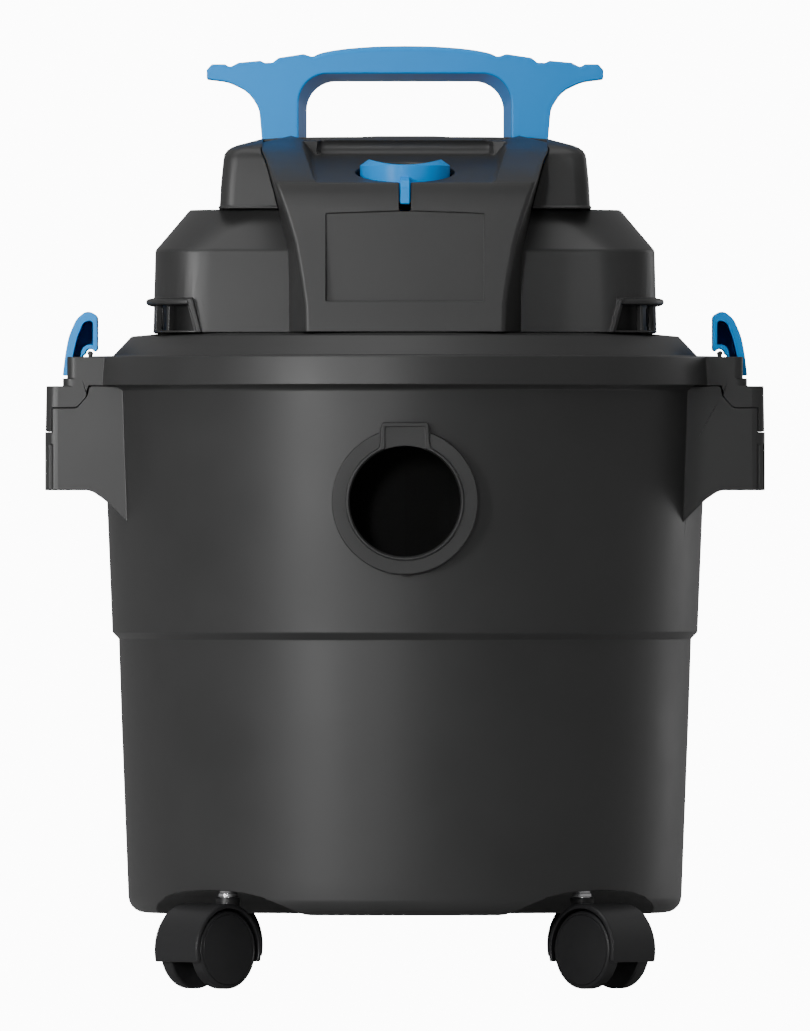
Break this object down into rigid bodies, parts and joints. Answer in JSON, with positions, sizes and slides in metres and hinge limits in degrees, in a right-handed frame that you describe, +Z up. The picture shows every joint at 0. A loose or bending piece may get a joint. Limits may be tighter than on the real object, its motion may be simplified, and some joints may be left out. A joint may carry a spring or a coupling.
{
  "type": "shop vacuum",
  "caption": "Small wet and dry shop vacuum: round tank on swivel casters, lift-off motor head with latches, bridge handle, push switch and front hose inlet.",
  "frame": {"origin": "on the floor, at the centre of the object's footprint under the tank's axis", "axes": "+Z up, -Y towards the hose inlet and the switch (front), +X to the right seen from the front"},
  "size_m": [0.323, 0.288, 0.4228],
  "materials": {
    "dark_plastic": "fine-textured moulding",
    "black_plastic": "satin",
    "caster_plastic": "satin",
    "blue_plastic": "semi-gloss",
    "black_rubber": "matte",
    "steel": "plated",
    "cast_aluminium": "as cast",
    "motor_iron": "lacquered",
    "filter_foam": "open-cell"
  },
  "bodies": {
    "tank": {"tank": "dark_plastic", "side_grip_left": "dark_plastic", "side_grip_right": "dark_plastic", "inlet_collar": "dark_plastic", "caster_stem_front_left": "steel", "caster_stem_front_right": "steel", "caster_stem_rear_left": "steel", "caster_stem_rear_right": "steel"},
    "head": {"lid": "dark_plastic", "lid_seal": "black_rubber", "motor_housing": "dark_plastic", "vent_grille_left": "black_plastic", "vent_grille_right": "black_plastic", "top_cover": "dark_plastic", "front_fascia": "dark_plastic", "rear_fascia": "dark_plastic", "cord_gland": "black_rubber", "handle": "blue_plastic", "button_spring": "steel", "switch_body": "black_plastic", "motor_base_plate": "cast_aluminium", "motor_can": "motor_iron", "turbine_shroud": "cast_aluminium", "lower_gasket": "black_rubber", "upper_gasket": "black_rubber", "float_cage": "black_plastic", "filter_media": "filter_foam", "filter_top_ring": "black_rubber", "filter_bottom_cap": "black_rubber", "housing_screw_front_left": "steel", "housing_screw_front_right": "steel", "housing_screw_rear_left": "steel", "housing_screw_rear_right": "steel"},
    "latch_left": {"latch_left": "blue_plastic"},
    "latch_right": {"latch_right": "blue_plastic"},
    "button": {"power_button": "blue_plastic"},
    "rotor": {"motor_shaft": "steel", "impeller": "cast_aluminium", "cooling_fan": "black_plastic"},
    "float_valve": {"float": "black_plastic"},
    "swivel_front_left": {"caster_hood_front_left": "caster_plastic"},
    "wheels_front_left": {"caster_axle_front_left": "steel", "caster_wheel_front_left_a": "caster_plastic", "caster_wheel_front_left_b": "caster_plastic"},
    "swivel_front_right": {"caster_hood_front_right": "caster_plastic"},
    "wheels_front_right": {"caster_axle_front_right": "steel", "caster_wheel_front_right_a": "caster_plastic", "caster_wheel_front_right_b": "caster_plastic"},
    "swivel_rear_left": {"caster_hood_rear_left": "caster_plastic"},
    "wheels_rear_left": {"caster_axle_rear_left": "steel", "caster_wheel_rear_left_a": "caster_plastic", "caster_wheel_rear_left_b": "caster_plastic"},
    "swivel_rear_right": {"caster_hood_rear_right": "caster_plastic"},
    "wheels_rear_right": {"caster_axle_rear_right": "steel", "caster_wheel_rear_right_a": "caster_plastic", "caster_wheel_rear_right_b": "caster_plastic"}
  },
  "joints": [
    {"name": "head_lift", "type": "slide", "parent": "tank", "child": "head", "axis": [0, 0, 1], "range_m": [0, 0.15]},
    {"name": "latch_left_open", "type": "hinge", "parent": "head", "child": "latch_left", "pos_m": [-0.1416, 0, 0.2846], "axis": [0, 1, 0], "range_deg": [0, 40]},
    {"name": "latch_right_open", "type": "hinge", "parent": "head", "child": "latch_right", "pos_m": [0.1416, 0, 0.2846], "axis": [0, -1, 0], "range_deg": [0, 40]},
    {"name": "power_press", "type": "slide", "parent": "head", "child": "button", "axis": [0, 0, -1], "range_m": [0, 0.003], "stiffness_N_per_m": 400, "springref_m": -0.002, "deforming": ["button_spring"]},
    {"name": "rotor_spin", "type": "hinge", "parent": "head", "child": "rotor", "pos_m": [0, 0, 0.33], "axis": [0, 0, 1], "continuous": true},
    {"name": "float_rise", "type": "slide", "parent": "head", "child": "float_valve", "axis": [0, 0, 1], "range_m": [0, 0.0755]},
    {"name": "swivel_turn_front_left", "type": "hinge", "parent": "tank", "child": "swivel_front_left", "pos_m": [-0.0793, -0.0793, 0.0441], "axis": [0, 0, 1], "continuous": true},
    {"name": "wheel_spin_front_left", "type": "hinge", "parent": "swivel_front_left", "child": "wheels_front_left", "pos_m": [-0.08814, -0.08814, 0.0175], "axis": [0.7071, -0.7071, 0], "continuous": true},
    {"name": "swivel_turn_front_right", "type": "hinge", "parent": "tank", "child": "swivel_front_right", "pos_m": [0.0793, -0.0793, 0.0441], "axis": [0, 0, 1], "continuous": true},
    {"name": "wheel_spin_front_right", "type": "hinge", "parent": "swivel_front_right", "child": "wheels_front_right", "pos_m": [0.08814, -0.08814, 0.0175], "axis": [0.7071, 0.7071, 0], "continuous": true},
    {"name": "swivel_turn_rear_left", "type": "hinge", "parent": "tank", "child": "swivel_rear_left", "pos_m": [-0.0793, 0.0793, 0.0441], "axis": [0, 0, 1], "continuous": true},
    {"name": "wheel_spin_rear_left", "type": "hinge", "parent": "swivel_rear_left", "child": "wheels_rear_left", "pos_m": [-0.08814, 0.08814, 0.0175], "axis": [-0.7071, -0.7071, 0], "continuous": true},
    {"name": "swivel_turn_rear_right", "type": "hinge", "parent": "tank", "child": "swivel_rear_right", "pos_m": [0.0793, 0.0793, 0.0441], "axis": [0, 0, 1], "continuous": true},
    {"name": "wheel_spin_rear_right", "type": "hinge", "parent": "swivel_rear_right", "child": "wheels_rear_right", "pos_m": [0.08814, 0.08814, 0.0175], "axis": [-0.7071, 0.7071, 0], "continuous": true}
  ]
}
